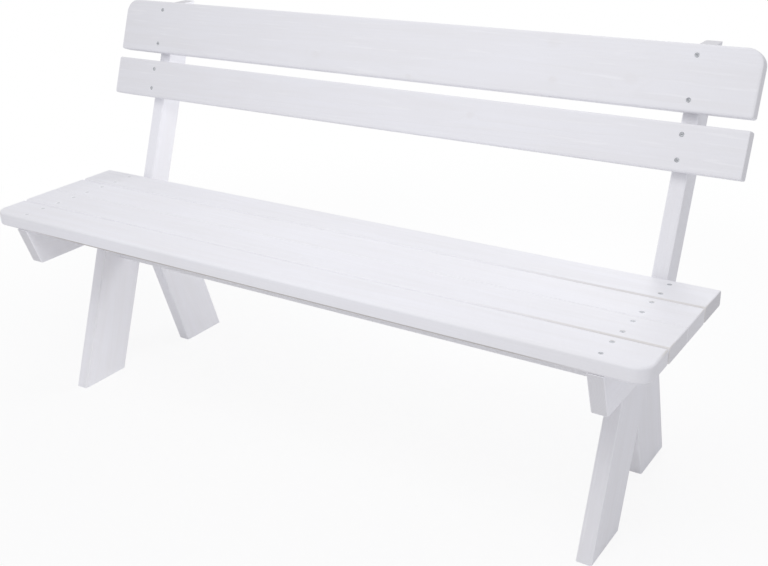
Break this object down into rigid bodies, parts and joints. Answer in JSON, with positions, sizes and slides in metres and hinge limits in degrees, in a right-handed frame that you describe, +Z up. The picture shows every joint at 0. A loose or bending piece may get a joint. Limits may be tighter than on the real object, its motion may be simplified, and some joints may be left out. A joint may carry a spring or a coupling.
{
  "type": "garden bench",
  "caption": "Armless wooden garden bench with a slatted seat and a leaning slatted back on crossed board end frames.",
  "frame": {"origin": "on the floor, under the middle of the bench's outer box", "axes": "+X along the bench to its right end, seen from the front; +Y from the seat's front edge to the back; +Z up"},
  "size_m": [1.5, 0.562, 0.8321],
  "materials": {
    "painted_seat": "white glazed softwood, satin",
    "painted_back": "white glazed softwood, satin",
    "painted_frame": "white glazed softwood, satin",
    "zinc_screws": "dull zinc plate",
    "zinc_bolts": "zinc plate"
  },
  "bodies": {
    "root": {"seat_plank_front": "painted_seat", "seat_plank_second": "painted_seat", "seat_plank_third": "painted_seat", "seat_plank_rear": "painted_seat", "back_plank_lower": "painted_back", "back_plank_upper": "painted_back", "stretcher": "painted_frame", "seat_bearer_left": "painted_frame", "seat_bearer_right": "painted_frame", "front_leg_left": "painted_frame", "front_leg_right": "painted_frame", "rear_leg_left": "painted_frame", "rear_leg_right": "painted_frame", "back_post_left": "painted_frame", "back_post_right": "painted_frame", "seat_screws_left": "zinc_screws", "seat_screws_right": "zinc_screws", "back_screws_left": "zinc_screws", "back_screws_right": "zinc_screws", "stretcher_screws_left": "zinc_screws", "stretcher_screws_right": "zinc_screws", "frame_bolts_left": "zinc_bolts", "frame_bolts_right": "zinc_bolts", "frame_washers_left": "zinc_bolts", "frame_washers_right": "zinc_bolts", "frame_nuts_left": "zinc_bolts", "frame_nuts_right": "zinc_bolts"}
  },
  "joints": []
}
